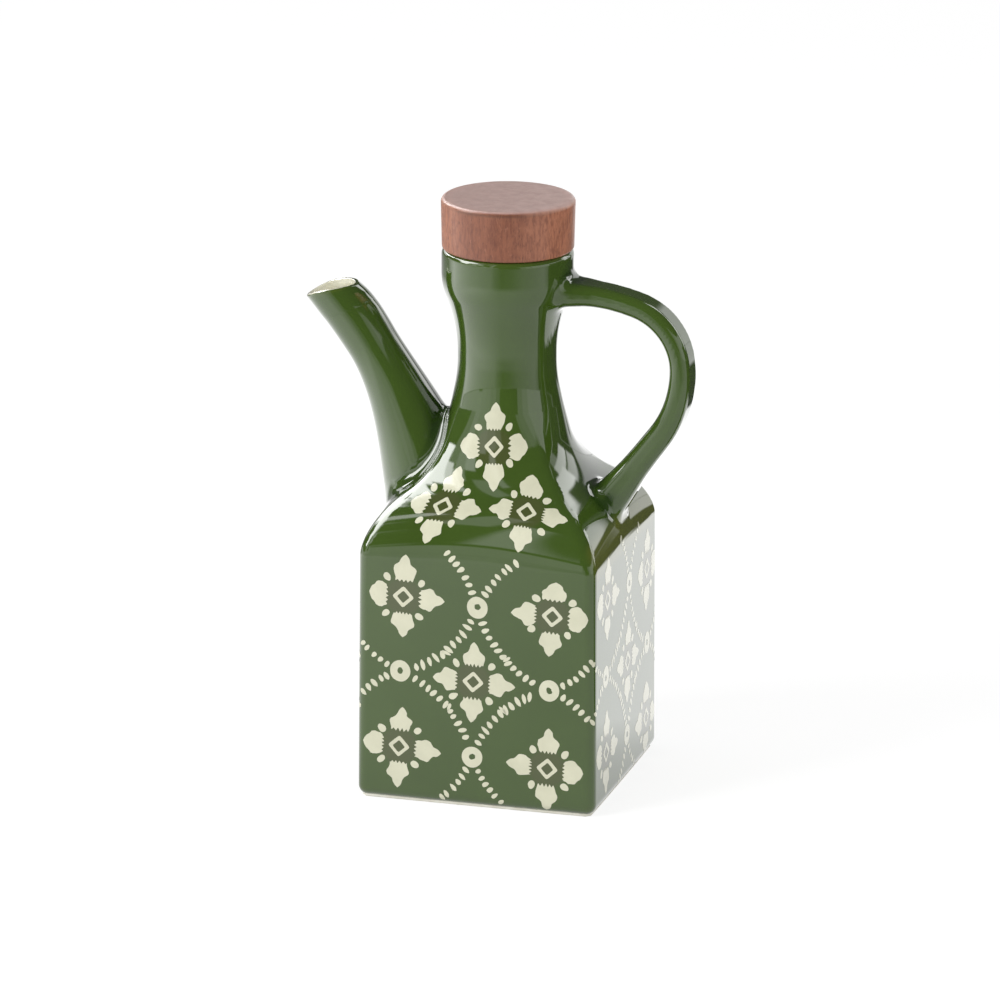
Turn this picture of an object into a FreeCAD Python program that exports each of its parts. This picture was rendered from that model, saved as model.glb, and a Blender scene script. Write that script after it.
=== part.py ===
"""Ceramic oil cruet: one glazed vessel with a spout and a strap handle, and a wooden disc stopper.

Frame: millimetres, +Z up, origin at the centre of the foot.  The spout points along -X and the handle
along +X.  The driving sizes are in the spreadsheet Sizes, and every sketch is bound to them.
"""
import FreeCAD
import Part
import Sketcher
import os
import re
from FreeCAD import Vector

SIZES = {
    # square body
    "body_width": 83.0,         # across the flats, just above the foot
    "wall_height": 84.7,        # where the shoulder starts to round over
    "wall_draft": 0.45,         # each side leans in by this much over the wall's height
    "foot_height": 1.3,         # bare clay rim under the glaze
    "foot_inset": 0.5,
    # shoulder: a convex arc, then a hollow arc, in the middle of each side
    "shoulder_round": 22.5,
    "shoulder_hollow": 31.0,
    "round_run": 10.6,          # above the shoulder the sections become round over this height
    # sections: four crowned sides joined by corner arcs
    "flat_share": 0.915,        # half chord of a side, as a share of the half width
    "face_crown": 0.6,          # half angle of a side's arc on the wall, in degrees
    "neck_crown": 40.0,         # the same where the neck is round
    "crown_growth": 1.3,        # how late the sides begin to bulge
    # neck and collar
    "neck_run": 25.4,           # from the top of the shoulder to the throat
    "neck_taper": 12.0,         # degrees
    "throat_radius": 16.7,
    "throat_hollow": 52.0,
    "throat_length": 2.0,
    "collar_hollow": 50.0,
    "collar_round": 20.0,
    "collar_swell": 22.8,       # degrees
    "collar_height": 37.6,      # from the throat to the rim
    "lip_radius": 2.0,
    "neck_shift": -0.7,         # the thrown neck stands this far off the middle, towards the spout
    # spout
    "spout_inset": 19.9,        # from the wall's face to where the spout's axis starts, inside the body
    "spout_depth": 28.6,        # that start lies this far below the top of the wall
    "spout_bend": 168.5,
    "spout_turn": 40.2,         # degrees from the start of the bend to the mouth
    "spout_root_radius": 16.7,
    "spout_tube_radius": 8.8,
    "mouth_length": 18.4,
    "mouth_width": 17.6,
    "mouth_belly": 19.0,        # length of the section just below the mouth
    "mouth_tilt": 15.5,         # degrees
    "mouth_reach": 1.1,         # the lip stands this far out from the line of the bend
    "mouth_wall": 1.7,
    "bore_depth": 9.5,
    "bore_lean": 3.8,           # the foot of the bore lies this far in from under the mouth
    "bore_foot_radius": 5.3,
    # handle
    "handle_width": 13.1,
    "handle_thickness": 6.9,
    "handle_corner": 3.0,
    "handle_drop": 13.5,        # from the rim to the handle's upper end
    "handle_seat": 12.4,        # its upper end lies this far from the vessel's axis
    "handle_lead": 11.0,        # straight start, out through the collar
    "crest_radius": 69.7,
    "crest_turn": 17.3,         # degrees
    "grip_radius": 22.1,
    "grip_turn": 67.5,          # degrees
    "fall_radius": 36.6,
    "fall_turn": 41.7,          # degrees
    "handle_leg": 22.6,         # straight end, down to the shoulder
    "handle_root": 10.0,        # and on into it
    "flare_width": 4.5,         # the strap spreads by this much where it meets the vessel
    "flare_thickness": 4.7,     # and thickens by this much
    # stopper
    "stopper_radius": 22.5,
    "stopper_foot_radius": 22.1,
    "stopper_height": 17.3,
    "stopper_edge": 1.6,
    "stopper_foot_edge": 0.8,
}

# Heights, radii and angles that follow from the sizes.
TAPER = "(neck_taper*1 deg)"
WALL_TOP = "(body_width/2 - wall_draft)"
THROAT_CURVE = f"(throat_hollow*(1 - cos{TAPER}))"
NECK_FOOT = f"(throat_radius + {THROAT_CURVE} + tan{TAPER}*(neck_run - throat_hollow*sin{TAPER}))"
SHOULDER_ARCS = "(shoulder_round + shoulder_hollow)"
SLOPE = f"acos(1 - ({WALL_TOP} - {NECK_FOOT} + shoulder_hollow*(1 - cos{TAPER}))/{SHOULDER_ARCS})"
SHOULDER_TOP = f"(wall_height + {SHOULDER_ARCS}*sin({SLOPE}) - shoulder_hollow*sin{TAPER})"
ROUND_HEIGHT = f"({SHOULDER_TOP} + round_run)"
ROUND_RADIUS = f"({NECK_FOOT} - round_run*tan{TAPER})"
THROAT_HEIGHT = f"({SHOULDER_TOP} + neck_run)"
RIM_HEIGHT = f"({THROAT_HEIGHT} + collar_height)"

doc = FreeCAD.newDocument("OilCruet")
sheet = doc.addObject("Spreadsheet::Sheet", "Sizes")


def fill_sheet():
    for row, (alias, size) in enumerate(SIZES.items(), start=1):
        sheet.set(f"A{row}", alias)
        sheet.set(f"B{row}", str(size))
        sheet.setAlias(f"B{row}", alias)
    doc.recompute()


def bound(text):
    """The expression with each size's name pointed at its cell."""
    return re.sub(r"\b[a-z_]+_[a-z_]+\b", lambda name: "Sizes." + name.group(), text)


def value(text):
    """What an expression comes to, as a plain number."""
    result = sheet.evalExpression(bound(text))
    return getattr(result, "Value", result)


def origin_plane(body, role):
    return next(item for item in body.Origin.OriginFeatures if item.Role == role)


def new_sketch(body, name, plane="XY_Plane", x="0", z="0", tilt="0"):
    """A sketch on an origin plane of its body, moved to (x, z) and tilted about Y towards +X."""
    sketch = body.newObject("Sketcher::SketchObject", name)
    sketch.AttachmentSupport = [(origin_plane(body, plane), "")]
    sketch.MapMode = "FlatFace"
    if plane == "XY_Plane":
        turn = FreeCAD.Rotation(Vector(0, 1, 0), value(tilt))
        sketch.AttachmentOffset = FreeCAD.Placement(Vector(value(x), 0, value(z)), turn)
        sketch.setExpression("AttachmentOffset.Base.z", bound(z))
        sketch.setExpression("AttachmentOffset.Rotation.Angle", bound(tilt))
    sketch.setExpression("AttachmentOffset.Base.x", bound(x))
    return sketch


def bind(sketch, name, text, *constraint):
    """Add a constraint of this size, with a name of its own."""
    index = sketch.addConstraint(Sketcher.Constraint(*constraint, value(text)))
    sketch.renameConstraint(index, name)
    sketch.setExpression("Constraints." + name, bound(text))


def relate(sketch, kind, *rows):
    for row in rows:
        sketch.addConstraint(Sketcher.Constraint(kind, *row))


def arc(centre, start, end):
    """The arc round a centre from one point to another, anticlockwise."""
    axis = Vector(0, 0, 1)
    circle = Part.Circle(centre, axis, (start - centre).Length)
    first = Vector(1, 0, 0).getAngle(start - centre) * (1 if start.y >= centre.y else -1)
    last = Vector(1, 0, 0).getAngle(end - centre) * (1 if end.y >= centre.y else -1)
    return Part.ArcOfCircle(circle, first, last)


def square_section(body, name, height, half_width, blend):
    """Four crowned sides and four corner arcs; at blend 0 nearly square, at blend 1 round."""
    sketch = new_sketch(body, name, x=f"(neck_shift*{blend})", z=height)
    crown = f"(face_crown*1 deg + (neck_crown - face_crown)*1 deg*({blend})^crown_growth)"
    chord = f"({half_width}*(flat_share + (sin(neck_crown*1 deg) - flat_share)*({blend})))"
    side_radius = f"({chord}/sin{crown})"
    reach = f"({half_width} - {side_radius}*(1 - cos{crown}))"
    corner_radius = f"(({reach} - {chord})/(cos{crown} - sin{crown}))"
    w, c, r, side = value(half_width), value(chord), value(reach), value(side_radius)
    inner = c - value(corner_radius) * (c / side)
    for quarter in range(4):
        turn = FreeCAD.Rotation(Vector(0, 0, 1), 90 * quarter)
        points = [Vector(-c, -r), Vector(c, -r), Vector(r, -c), Vector(0, side - w), Vector(inner, -inner)]
        a, b, d, side_centre, corner_centre = [turn.multVec(point) for point in points]
        sketch.addGeometry(arc(side_centre, a, b))
        sketch.addGeometry(arc(corner_centre, b, d))
    for index in range(8):
        relate(sketch, "Coincident", (index, 2, (index + 1) % 8, 1))
    relate(sketch, "Equal", (0, 2), (2, 4), (4, 6), (1, 3), (3, 5), (5, 7))
    across, along = -2, -1
    relate(sketch, "Symmetric", (0, 1, 0, 2, across), (4, 1, 4, 2, across), (2, 2, 6, 1, across))
    relate(sketch, "Symmetric", (2, 1, 2, 2, along), (6, 1, 6, 2, along), (0, 2, 4, 1, along))
    bind(sketch, "chord_x", chord, "DistanceX", -1, 1, 0, 2)
    bind(sketch, "reach_y", reach, "DistanceY", 0, 2, -1, 1)
    bind(sketch, "reach_x", reach, "DistanceX", -1, 1, 2, 1)
    bind(sketch, "chord_y", chord, "DistanceY", 2, 1, -1, 1)
    bind(sketch, "side_radius", side_radius, "Radius", 0)
    bind(sketch, "corner_radius", corner_radius, "Radius", 1)
    return sketch


def round_section(body, name, x, z, tilt, radius):
    sketch = new_sketch(body, name, x=x, z=z, tilt=tilt)
    sketch.addGeometry(Part.Circle(Vector(), Vector(0, 0, 1), value(radius)))
    relate(sketch, "Coincident", (0, 3, -1, 1))
    bind(sketch, "radius", radius, "Radius", 0)
    return sketch


def strap_section(body, name, x, z, tilt, spread, swell):
    """A rounded rectangle: its thickness along the sketch's X, its width along Y."""
    sketch = new_sketch(body, name, x=x, z=z, tilt=tilt)
    thickness = f"(handle_thickness + flare_thickness*{swell})"
    width = f"(handle_width + flare_width*{spread})"
    corner = f"(handle_corner + flare_thickness*{swell}/3)"
    u, v, r = value(thickness) / 2, value(width) / 2, value(corner)
    for quarter in range(4):
        turn = FreeCAD.Rotation(Vector(0, 0, 1), 90 * quarter)
        half, reach = (u, v) if quarter % 2 == 0 else (v, u)
        points = [Vector(r - half, -reach), Vector(half - r, -reach), Vector(half, r - reach)]
        a, b, d = [turn.multVec(point) for point in points]
        centre = turn.multVec(Vector(half - r, r - reach))
        sketch.addGeometry(Part.LineSegment(a, b))
        sketch.addGeometry(arc(centre, b, d))
    relate(sketch, "Tangent", *[(index, 2, (index + 1) % 8, 1) for index in range(8)])
    relate(sketch, "Horizontal", (0,), (4,))
    relate(sketch, "Vertical", (2,), (6,))
    relate(sketch, "Equal", (1, 3), (3, 5), (5, 7))
    relate(sketch, "Symmetric", (1, 3, 5, 3, -1, 1))
    bind(sketch, "corner", corner, "Radius", 1)
    bind(sketch, "thickness", thickness, "DistanceX", 6, 1, 2, 1)
    bind(sketch, "width", width, "DistanceY", 0, 1, 4, 1)
    return sketch


def loft(body, name, sections, ruled=False, kind="PartDesign::AdditiveLoft"):
    feature = body.newObject(kind, name)
    feature.Profile = sections[0]
    feature.Sections = sections[1:]
    feature.Ruled = ruled
    doc.recompute()
    return feature


def build_foot(body):
    sketch = square_section(body, "FootSection", "0", "(body_width/2 - foot_inset)", "0")
    foot = body.newObject("PartDesign::Pad", "Foot")
    foot.Profile = sketch
    foot.setExpression("Length", bound("foot_height"))


def build_walls_and_shoulder(body):
    bottom = square_section(body, "WallFoot", "foot_height", "(body_width/2)", "0")
    wall_top = square_section(body, "WallTop", "wall_height", WALL_TOP, "0")
    loft(body, "Walls", [bottom, wall_top], ruled=True)
    stations = []
    for share in (0.2, 0.4, 0.6, 0.8, 1.0):
        angle = f"({share}*{SLOPE})"
        height = f"(wall_height + shoulder_round*sin{angle})"
        stations.append((height, f"({WALL_TOP} - shoulder_round*(1 - cos{angle}))"))
    for share in (0.25, 0.5, 0.75, 1.0):
        angle = f"({SLOPE} + {share}*({TAPER} - {SLOPE}))"
        height = f"({SHOULDER_TOP} - shoulder_hollow*(sin{angle} - sin{TAPER}))"
        stations.append((height, f"({NECK_FOOT} + shoulder_hollow*(cos{TAPER} - cos{angle}))"))
    for share in (0.5, 1.0):
        height = f"({SHOULDER_TOP} + {share}*round_run)"
        stations.append((height, f"({NECK_FOOT} - {share}*round_run*tan{TAPER})"))
    sections = [wall_top]
    for number, (height, half_width) in enumerate(stations, start=1):
        blend = f"(({height} - wall_height)/({ROUND_HEIGHT} - wall_height))"
        sections.append(square_section(body, f"Shoulder{number}", height, half_width, blend))
    loft(body, "Shoulder", sections)


def build_neck(body):
    """The round neck, throat, collar and rim, as one revolved outline."""
    swell = "(collar_swell*1 deg)"
    collar_rise = f"((collar_hollow + collar_round)*sin{swell})"
    throat = Vector(value("throat_radius"), value(THROAT_HEIGHT))
    throat_top = throat + Vector(0, value("throat_length"))
    hollow, flare, bulge = value("throat_hollow"), value("collar_hollow"), value("collar_round")
    lip, rim = value("lip_radius"), value(RIM_HEIGHT)
    cone_top = throat + Vector(hollow * (1 - value(f"cos{TAPER}")), -hollow * value(f"sin{TAPER}"))
    swelling = Vector(1 - value(f"cos{swell}"), value(f"sin{swell}"))
    meeting = throat_top + flare * swelling
    collar = meeting + bulge * swelling
    foot_left, foot_right = Vector(0, value(ROUND_HEIGHT)), Vector(value(ROUND_RADIUS), value(ROUND_HEIGHT))
    lip_foot, lip_top = Vector(collar.x, rim - lip), Vector(collar.x - lip, rim)
    sketch = new_sketch(body, "NeckOutline", "XZ_Plane", x="neck_shift")
    sketch.addGeometry(Part.LineSegment(foot_left, foot_right))
    sketch.addGeometry(Part.LineSegment(foot_right, cone_top))
    sketch.addGeometry(arc(throat + Vector(hollow, 0), throat, cone_top))
    sketch.addGeometry(Part.LineSegment(throat, throat_top))
    sketch.addGeometry(arc(throat_top + Vector(flare, 0), meeting, throat_top))
    sketch.addGeometry(arc(collar - Vector(bulge, 0), meeting, collar))
    sketch.addGeometry(Part.LineSegment(collar, lip_foot))
    sketch.addGeometry(arc(lip_foot - Vector(lip, 0), lip_foot, lip_top))
    sketch.addGeometry(Part.LineSegment(lip_top, Vector(0, rim)))
    sketch.addGeometry(Part.LineSegment(Vector(0, rim), foot_left))
    relate(sketch, "Coincident", (0, 2, 1, 1), (8, 2, 9, 1), (9, 2, 0, 1))
    relate(sketch, "Tangent", (1, 2, 2, 2), (2, 1, 3, 1), (3, 2, 4, 2), (4, 1, 5, 1))
    relate(sketch, "Tangent", (5, 2, 6, 1), (6, 2, 7, 1), (7, 2, 8, 1))
    relate(sketch, "Horizontal", (0,), (8,))
    relate(sketch, "Vertical", (3,), (6,), (9,))
    relate(sketch, "PointOnObject", (9, 1, -2))
    bind(sketch, "foot_height", ROUND_HEIGHT, "DistanceY", -1, 1, 0, 2)
    bind(sketch, "foot_radius", ROUND_RADIUS, "DistanceX", -1, 1, 0, 2)
    bind(sketch, "throat_hollow", "throat_hollow", "Radius", 2)
    bind(sketch, "throat_radius", "throat_radius", "DistanceX", -1, 1, 3, 1)
    bind(sketch, "throat_height", THROAT_HEIGHT, "DistanceY", -1, 1, 3, 1)
    bind(sketch, "throat_length", "throat_length", "DistanceY", 3, 1, 3, 2)
    bind(sketch, "collar_hollow", "collar_hollow", "Radius", 4)
    bind(sketch, "collar_round", "collar_round", "Radius", 5)
    bind(sketch, "collar_rise", collar_rise, "DistanceY", 3, 2, 5, 2)
    bind(sketch, "lip_radius", "lip_radius", "Radius", 7)
    bind(sketch, "rim_height", RIM_HEIGHT, "DistanceY", -1, 1, 8, 1)
    neck = body.newObject("PartDesign::Revolution", "Neck")
    neck.Profile = sketch
    neck.ReferenceAxis = (sketch, ["V_Axis"])
    neck.Angle = 360.0
    doc.recompute()


def oval_section(body, name, x, z, tilt, length, width):
    """An ellipse, its length along the sketch's X."""
    sketch = new_sketch(body, name, x=x, z=z, tilt=tilt)
    sketch.addGeometry(Part.Ellipse(Vector(value(length) / 2, 0), Vector(0, value(width) / 2), Vector()))
    sketch.exposeInternalGeometry(0)
    relate(sketch, "Coincident", (0, 3, -1, 1))
    relate(sketch, "Horizontal", (1,))
    bind(sketch, "length", length, "Distance", 1)
    bind(sketch, "width", width, "Distance", 2)
    return sketch


def spout_station(share):
    """Where the spout's axis is at this share of its bend, and its tilt there."""
    angle = f"({share}*spout_turn*1 deg)"
    x = f"(-({WALL_TOP} - spout_inset) - spout_bend*(1 - cos{angle}))"
    z = f"(wall_height - spout_depth + spout_bend*sin{angle})"
    return x, z, f"(-{angle})"


def mouth_station(share, reach, lean):
    """A place near the mouth, moved out by a share of the reach and leaning part way to the lip's tilt."""
    x, z, tilt = spout_station(share)
    return f"({x} - {reach}*mouth_reach)", z, f"({tilt} - {lean}*({tilt} + mouth_tilt*1 deg))"


def build_spout(body):
    """A tube that narrows as it bends, ending in an oval mouth cut nearer to level than square."""
    narrowing = "(spout_root_radius - spout_tube_radius)"
    sections = []
    for share in (0, 0.15, 0.3, 0.4, 0.5, 0.6, 0.7, 0.8):
        along = min(1, max(0, (share - 0.3) / 0.52))
        radius = f"(spout_root_radius - {along**2 * (3 - 2*along):.3f}*{narrowing})"
        sections.append(round_section(body, f"Spout{len(sections) + 1}", *spout_station(share), radius))
    near_mouth = (
        ("MouthThroat", 0.91, 0, 0.55, "(0.7*mouth_belly + 0.6*spout_tube_radius)", "(2*spout_tube_radius)"),
        ("MouthBelly", 0.965, 0.4, 0.8, "mouth_belly", "(spout_tube_radius + mouth_width/2)"),
        ("Mouth", 1, 1, 1, "mouth_length", "mouth_width"),
    )
    for name, share, reach, lean, length, width in near_mouth:
        sections.append(oval_section(body, name, *mouth_station(share, reach, lean), length, width))
    loft(body, "Spout", sections)


def build_bore(body):
    """The pouring hole, a short funnel as deep as can be seen into."""
    x, z, tilt = mouth_station(1, 1, 1)
    over = (f"({x} - sin(mouth_tilt*1 deg))", f"({z} + cos(mouth_tilt*1 deg))", tilt)
    foot = (f"({x} + bore_lean)", f"({z} - bore_depth)", f"({tilt}/2)")
    hole = ("(mouth_length - 2*mouth_wall)", "(mouth_width - 2*mouth_wall)")
    top = oval_section(body, "BoreTop", *over, *hole)
    bottom = round_section(body, "BoreFoot", *foot, "bore_foot_radius")
    loft(body, "Bore", [top, bottom], kind="PartDesign::SubtractiveLoft")


class Route:
    """A path in the XZ plane, kept as expressions: a place, and the heading above +X."""

    def __init__(self, x, z, heading):
        self.x, self.z, self.heading = x, z, heading

    def straight(self, length):
        x = f"({self.x} + {length}*cos{self.heading})"
        z = f"({self.z} + {length}*sin{self.heading})"
        return Route(x, z, self.heading)

    def bend(self, radius, turn, share=1.0):
        """Turn towards the right of the heading."""
        heading = f"({self.heading} - {share}*{turn}*1 deg)"
        x = f"({self.x} + {radius}*(sin{self.heading} - sin{heading}))"
        z = f"({self.z} + {radius}*(cos{heading} - cos{self.heading}))"
        return Route(x, z, heading)

    def station(self):
        return self.x, self.z, f"(90 deg - {self.heading})"


def build_handle(body):
    """Each station of the strap has the shares of the flare that widen and thicken it there."""
    start = Route("handle_seat", f"({RIM_HEIGHT} - handle_drop)", "(0 deg)")
    crest = start.straight("handle_lead")
    grip = crest.bend("crest_radius", "crest_turn")
    fall = grip.bend("grip_radius", "grip_turn")
    leg = fall.bend("fall_radius", "fall_turn")
    stations = [(start, 1.0, 0.35), (start.straight("0.7*handle_lead"), 0.9, 0.3)]
    for share, spread, swell in ((0.05, 0.6, 0.2), (0.25, 0.15, 0.05), (0.6, 0, 0), (1.0, 0, 0)):
        stations.append((crest.bend("crest_radius", "crest_turn", share), spread, swell))
    for share in (0.25, 0.5, 0.75, 1.0):
        stations.append((grip.bend("grip_radius", "grip_turn", share), 0, 0))
    for share, flare in ((0.35, 0.14), (0.7, 0.28), (1.0, 0.4)):
        stations.append((fall.bend("fall_radius", "fall_turn", share), flare / 2, flare))
    for share, flare in ((0.35, 0.45), (0.65, 0.58), (1.0, 1.0)):
        stations.append((leg.straight(f"{share}*handle_leg"), flare / 2, flare))
    stations.append((leg.straight("(handle_leg + handle_root)"), 0.8, 1.4))
    sections = []
    for number, (route, spread, swell) in enumerate(stations, start=1):
        sections.append(strap_section(body, f"Handle{number}", *route.station(), spread, swell))
    loft(body, "Handle", sections)


def build_vessel():
    body = doc.addObject("PartDesign::Body", "Vessel")
    body.Label = "ceramic_vessel"
    build_foot(body)
    build_walls_and_shoulder(body)
    build_neck(body)
    build_handle(body)
    build_spout(body)
    build_bore(body)
    return body


def circular_edges(feature, height):
    """The names of the feature's edges that are circles at this height."""
    names = []
    for number, edge in enumerate(feature.Shape.Edges, start=1):
        box = edge.BoundBox
        if abs(box.ZMin - height) < 1e-3 and abs(box.ZMax - height) < 1e-3:
            names.append(f"Edge{number}")
    return names


def build_stopper():
    """A turned wooden disc, a little wider at the top, that rests on the rim."""
    body = doc.addObject("PartDesign::Body", "Stopper")
    body.Label = "wood_stopper"
    body.setExpression("Placement.Base.x", bound("neck_shift"))
    body.setExpression("Placement.Base.z", bound(RIM_HEIGHT))
    sketch = new_sketch(body, "StopperOutline", "XZ_Plane")
    foot, top, height = value("stopper_foot_radius"), value("stopper_radius"), value("stopper_height")
    corners = [Vector(0, 0), Vector(foot, 0), Vector(top, height), Vector(0, height)]
    for start, end in zip(corners, corners[1:] + corners[:1]):
        sketch.addGeometry(Part.LineSegment(start, end))
    relate(sketch, "Coincident", (0, 2, 1, 1), (1, 2, 2, 1), (2, 2, 3, 1), (3, 2, 0, 1), (0, 1, -1, 1))
    relate(sketch, "Horizontal", (0,), (2,))
    relate(sketch, "Vertical", (3,))
    bind(sketch, "foot_radius", "stopper_foot_radius", "DistanceX", 0, 1, 0, 2)
    bind(sketch, "top_radius", "stopper_radius", "DistanceX", 2, 2, 2, 1)
    bind(sketch, "height", "stopper_height", "DistanceY", 0, 1, 3, 1)
    disc = body.newObject("PartDesign::Revolution", "Disc")
    disc.Profile = sketch
    disc.ReferenceAxis = (sketch, ["V_Axis"])
    disc.Angle = 360.0
    doc.recompute()
    top_edge = body.newObject("PartDesign::Fillet", "TopEdge")
    top_edge.Base = (disc, circular_edges(disc, height))
    top_edge.setExpression("Radius", bound("stopper_edge"))
    doc.recompute()
    foot_edge = body.newObject("PartDesign::Fillet", "FootEdge")
    foot_edge.Base = (top_edge, circular_edges(top_edge, 0))
    foot_edge.setExpression("Radius", bound("stopper_foot_edge"))
    return body


def check(parts):
    for item in doc.Objects:
        if "Invalid" in item.State or "Error" in item.State:
            raise RuntimeError(f"{item.Name} did not compute: {item.State}")
    for part in parts:
        shape = part.Shape
        if shape.isNull() or not shape.isValid() or len(shape.Solids) != 1:
            raise RuntimeError(f"{part.Label} is not one valid solid")


def main():
    fill_sheet()
    parts = [build_vessel(), build_stopper()]
    doc.recompute()
    check(parts)
    os.makedirs("parts", exist_ok=True)
    for part in parts:
        part.Shape.exportStep(f"parts/{part.Label}.step")
        box = part.Shape.BoundBox
        low = [round(side, 2) for side in (box.XMin, box.YMin, box.ZMin)]
        high = [round(side, 2) for side in (box.XMax, box.YMax, box.ZMax)]
        print(part.Label, low, high, "volume", round(part.Shape.Volume), "mm3")


main()
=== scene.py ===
import math

import bpy
import numpy as np
from mathutils import Matrix, Vector


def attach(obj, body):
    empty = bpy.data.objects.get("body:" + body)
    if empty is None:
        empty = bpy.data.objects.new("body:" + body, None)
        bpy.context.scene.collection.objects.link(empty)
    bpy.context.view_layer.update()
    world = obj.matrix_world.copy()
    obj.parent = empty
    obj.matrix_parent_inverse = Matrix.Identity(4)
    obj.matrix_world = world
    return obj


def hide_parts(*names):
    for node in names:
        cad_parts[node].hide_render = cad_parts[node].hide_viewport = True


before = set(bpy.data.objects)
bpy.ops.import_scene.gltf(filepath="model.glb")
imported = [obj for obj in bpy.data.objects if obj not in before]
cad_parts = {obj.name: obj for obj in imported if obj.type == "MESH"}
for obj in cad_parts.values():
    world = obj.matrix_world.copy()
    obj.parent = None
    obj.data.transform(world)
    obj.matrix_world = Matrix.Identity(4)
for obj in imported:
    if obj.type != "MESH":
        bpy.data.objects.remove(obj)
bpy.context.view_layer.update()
scene = bpy.context.scene


def rise(value, span):
    """From 0 to 1 as the value goes from 0 to the span."""
    return np.clip(value / span, 0, 1)


# ------------------------------ camera
AIM_HEIGHT = 0.10505
CAMERA_DISTANCE = 2.5245
CAMERA_ANGLES = (15.742, 16.288, 0.242)     # from -Y towards +X, up, and roll


def make_camera():
    azimuth, elevation, roll = map(math.radians, CAMERA_ANGLES)
    back = Vector((math.sin(azimuth) * math.cos(elevation),
                   -math.cos(azimuth) * math.cos(elevation), math.sin(elevation)))
    right = Vector((0, 0, 1)).cross(back).normalized()
    up = back.cross(right)
    right, up = (math.cos(roll) * right + math.sin(roll) * up,
                 math.cos(roll) * up - math.sin(roll) * right)
    data = bpy.data.cameras.new("camera")
    data.sensor_width = 36.0
    data.lens = 270.63
    data.shift_x, data.shift_y = -0.009165, -0.026497
    data.clip_start, data.clip_end = 0.1, 50.0
    camera = bpy.data.objects.new("camera", data)
    place = Vector((0, 0, AIM_HEIGHT)) + CAMERA_DISTANCE * back
    camera.matrix_world = Matrix.Translation(place) @ Matrix((right, up, back)).transposed().to_4x4()
    scene.collection.objects.link(camera)
    scene.camera = camera


# ------------------------------ light and floor
WHITE = (1, 1, 1, 1)
WORLD_LIGHT = 0.52
DIM_ROOM = 0.06
# What polished surfaces see above the floor: azimuths from -Y towards +X, elevations, brightness
CARDS = [
    (-140, -130, 18, 40, 5.0), (-130, -120, 20, 52, 7.0), (-120, -110, 26, 62, 8.5),
    (-110, -84, 34, 63, 8.5), (-84, -76, 26, 58, 8.5), (-76, -62, 18, 56, 8.5),
    (-62, -54, 34, 55, 5.5), (-54, -48, 40, 62, 2.6), (-150, -120, 8, 18, 1.5),
    (-60, -50, 0, 34, .7), (-50, -41, 0, 50, 1.2), (-41, -31, 22, 38, 1.8),
    (-41, -31, -2, 8, 1.1), (-31, -21, -2, 18, 1.0), (-35, -22, 48, 68, .8),
    (-17, -10.6, 18, 60, 1.1), (-21, -10, -2, 13, .8), (-10, -2, -2, 12, .5),
    (-110, -50, -2, 5, 1.2), (32, 38, 13, 22, .5), (38, 48, -2, 25, .6),
    (48, 60, -2, 25, .85), (60, 90, -2, 25, 1.1), (90, 108, 14, 25, 1.15),
    (108, 128, 15, 25, .75), (130, 140, 4, 25, 2.3), (143, 152, 3, 20, 1.5),
    (138, 150, 18, 32, 2.8), (150, 160, 29, 54, 2.8), (160, 167, 28, 36, 2.4),
    (158, 181, -2, 20, .85), (-181, -166, -2, 15, 1.5)]
CARD_DISTANCE, CARD_CENTRE, CARD_ROWS, CARD_COLUMNS = 4.9, 0.12, 48, 180
# How bright the floor looks far out in each direction: azimuth, brightness
FAR_FLOOR = [
    (-180, 1.3), (-170, 1.0), (-160, .5), (-130, .3), (-108, .3), (-98, 1.3), (-90, 2.0), (-75, 1.7),
    (-60, 1.42), (-45, 1.15), (-25, .9), (-14, .78), (-7, .42), (5, .15), (22, .25), (40, .5), (60, .65),
    (80, .8), (88, .45), (93, .03), (153, .03), (158, .8), (170, .85), (180, 1.3)]
FLOOR_RINGS = [
    .03, .06, .09, .12, .15, .18, .22, .26, .3, .33, .36, .39, .42, .46, .5, .55, .6, .7, .8,
    1.1, 1.6, 2.5, 5.0]
FLOOR_SPOKES = 180
LAMP_SIZE = 0.9


def shade_cards(azimuth, elevation):
    """Brightness in one direction: the brightest card there, over a dim room."""
    best = DIM_ROOM
    for a0, a1, e0, e1, level in CARDS:
        if a0 <= azimuth <= a1 and e0 <= elevation <= e1:
            best = max(best, level)
    return best


def shade_floor(x, y):
    """How bright the floor looks in the glaze: brighter towards the key light, dark behind on the right."""
    azimuth = math.degrees(math.atan2(x, -y))
    reach = math.hypot(x, y)
    front = 0.72 + 0.9 * rise(-x, .36) + .1 * rise(x - .25, .3)
    back = .78 + .44 * rise(reach - .045, .035) + .05 * rise(reach - .15, .15)
    near = front + (back - front) * (rise(y + .02, .08) if x > 0 else rise(y - .05, .25))
    far = np.interp(azimuth, *zip(*FAR_FLOOR))
    level = near + (far - near) * rise(reach - .42, .25)
    ragged = .025 * math.sin(azimuth * 1.3) + .018 * math.sin(azimuth * 3.1)
    if 88 < azimuth < 110 and reach > .12:
        level = .05
    if 94 < azimuth < 168 and .36 + ragged < reach < .8:
        level = .04
    return level


def cleared_tree(owner):
    """The empty node tree of a world or a material."""
    owner.use_nodes = True
    owner.node_tree.nodes.clear()
    return owner.node_tree


def add_node(tree, kind, **inputs):
    node = tree.nodes.new("ShaderNode" + kind)
    for name, value in inputs.items():
        node.inputs[name].default_value = value
    return node


def pick_shader(tree, share, usual, special):
    """A mix of two shaders that turns from the usual to the special one with share."""
    mix = add_node(tree, "MixShader")
    for socket, source in zip(mix.inputs, (share, usual, special)):
        tree.links.new(source, socket)
    return mix.outputs[0]


def own_glow(tree):
    """An emission as bright as the mesh's own shine."""
    shine = add_node(tree, "Attribute")
    shine.attribute_name = "shine"
    glow = add_node(tree, "Emission")
    tree.links.new(shine.outputs["Fac"], glow.inputs["Strength"])
    return glow.outputs[0]


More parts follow.
